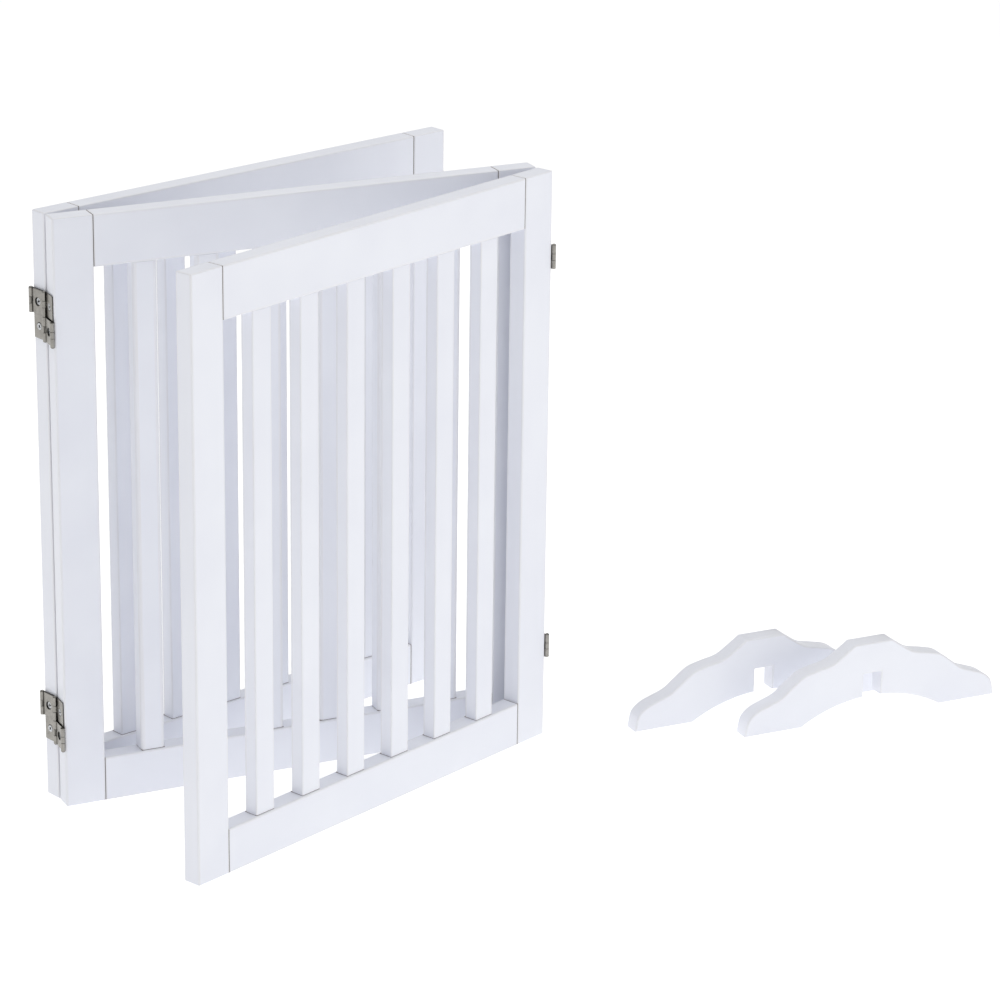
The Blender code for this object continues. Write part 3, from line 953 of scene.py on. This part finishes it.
# %% Carrying the outline through a foot
FOOT_ROUND = 2.0 * MM
FACE_BORDER = 0.6 * MM          # a line of points this far inside the rounding
ROUND_STEPS = 6                 # faces round a quarter of the rounding
MID_EDGE_WEAR = 0.4             # the flat of the edge is worn less than its roundings
FOOT_GRAIN_SHIFT = np.array([0.5, 0.2, 0.9])


def foot_piece(node, body, number):
    """One foot at its CAD node's place.

    Rows run from one face to the other: depth R (1 - cos t) and inset R (1 - sin t)
    for t up a quarter circle, and the same mirrored on the far side.
    """
    low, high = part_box(node)
    middle_x = (low[0] + high[0]) / 2
    t = np.linspace(0.0, math.pi / 2, ROUND_STEPS + 1)
    depth = FOOT_ROUND * (1 - np.cos(t))
    inset = FOOT_ROUND * (1 - np.sin(t))
    face_in = FOOT_ROUND + FACE_BORDER
    ys = np.concatenate([[low[1]], low[1] + depth, (high[1] - depth)[::-1], [high[1]]])
    insets = np.concatenate([[face_in], inset, inset[::-1], [face_in]])
    rows = [np.insert(drawn_in(outline, d), 1, y, axis=1) for y, d in zip(ys, insets)]
    points = np.array(rows)
    columns = len(outline)
    faces = grid_faces(len(rows), columns)
    faces += [list(range(columns))[::-1],
              list(range((len(rows) - 1) * columns, len(rows) * columns))]
    arris = np.zeros(points.shape[:2])
    arris[2:-2] = 1.0
    arris[ROUND_STEPS + 1:-ROUND_STEPS - 1] = MID_EDGE_WEAR
    place = points.reshape(-1, 3) + FOOT_GRAIN_SHIFT * number
    points = points.reshape(-1, 3) + np.array([middle_x, 0.0, 0.0])
    add_piece(node + "_board", points, faces, body, "white_paint", ENAMEL, [node],
              board=place, arris=arris.ravel())


foot_piece("support_foot_rear", "rear_foot", 1)
foot_piece("support_foot_front", "front_foot", 2)
print("feet: 2")

# %% [markdown]
# ## Studio
# A white sweep, a big soft light overhead and one in front: flat catalogue light, with
# the boards a little darker than the paper they stand on. The paper also gives off some
# light of its own, as a sweep lit from behind does, so it stays white with no shadow on
# it. The floor isn't part of the object, so it is marked as stage.

# %% Floor and lights
PAPER_GLOW = 0.48
PAPER_REACH = 60.0              # far enough to look endless from low down
PAPER_FIBRE = 4 * MM
STUDIO_AIR = 0.50               # light that comes from all round


def paper_floor():
    """A wide sheet of white paper under the gate."""
    finish, tree, shader = new_finish("white_sweep_paper", Roughness=0.9, IOR=1.3,
                                      Emission_Color=linear("#FFFFFF"),
                                      Emission_Strength=PAPER_GLOW)
    place = add_node(tree, "TexCoord").outputs["Object"]
    fibre = add_node(tree, "TexNoise", Vector=place, Scale=1 / PAPER_FIBRE, Detail=2.0)
    tone = add_node(tree, "Mix", {"data_type": "RGBA"}, _0=fibre.outputs["Fac"],
                    _6=linear("#F7F7F7"), _7=linear("#FBFBFB"))
    tree.links.new(tone.outputs[2], shader.inputs["Base Color"])
    mesh = bpy.data.meshes.new("sweep")
    corners = np.array([(-1, -1, 0), (1, -1, 0), (1, 1, 0), (-1, 1, 0)]) * PAPER_REACH
    mesh.from_pydata(corners.tolist(), [], [(0, 1, 2, 3)])
    mesh.materials.append(finish)
    sweep = bpy.data.objects.new("sweep", mesh)
    bpy.context.scene.collection.objects.link(sweep)
    sweep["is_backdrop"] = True


def soft_light(name, place, target, size, power):
    """A square area light at a place, facing a target."""
    light = bpy.data.lights.new(name, "AREA")
    light.size = size
    light.energy = power
    lamp = bpy.data.objects.new(name, light)
    lamp.location = place
    aim = (Vector(target) - lamp.location).normalized()
    lamp.rotation_mode = "QUATERNION"
    lamp.rotation_quaternion = aim.to_track_quat("-Z", "Y")
    bpy.context.scene.collection.objects.link(lamp)


paper_floor()
soft_light("front_softbox", (1.8, -1.9, 0.8), (-0.1, 0.0, 0.25), 1.4, 5.0)
soft_light("overhead_softbox", (0.0, 0.0, 3.0), (0.0, 0.0, 0.0), 3.0, 34.0)
world = bpy.data.worlds.new("studio_air")
world.use_nodes = True
world.node_tree.nodes["Background"].inputs["Color"].default_value = linear("#FFFFFF")
world.node_tree.nodes["Background"].inputs["Strength"].default_value = STUDIO_AIR
bpy.context.scene.world = world
bpy.context.scene.view_settings.view_transform = "Standard"
print("lights:", [light.name for light in bpy.data.lights])

# %% [markdown]
# ## Camera
# The gate is seen from its front left, from above, through a long lens that keeps its
# uprights nearly parallel. The camera is placed by a matrix: first turned to look along
# the horizon, then tilted down and rolled, then moved out to its place.

# %% Camera
CAMERA_PLACE = (-1.6857, -3.4501, 1.6179)
CAMERA_YAW = math.radians(25.58)        # to the right of +Y
CAMERA_PITCH = math.radians(19.45)      # below the horizon
CAMERA_ROLL = math.radians(0.76)
camera = bpy.data.objects.new("camera", bpy.data.cameras.new("camera"))
camera.data.sensor_width = 36.0         # sensor and lens are in millimetres
camera.data.lens = 142.6
camera.matrix_world = (Matrix.Translation(CAMERA_PLACE) @ Matrix.Rotation(-CAMERA_YAW, 4, "Z")
                       @ Matrix.Rotation(math.pi / 2 - CAMERA_PITCH, 4, "X")
                       @ Matrix.Rotation(CAMERA_ROLL, 4, "Z"))
bpy.context.scene.collection.objects.link(camera)
bpy.context.scene.camera = camera
print("camera:", CAMERA_PLACE, "with a", round(camera.data.lens, 1), "mm lens")

# %% [markdown]
# ## Size of the finished object
# The pieces stand where the CAD nodes stood, so their common box should be the CAD's box
# too.

# %% The box of the pieces
low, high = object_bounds()
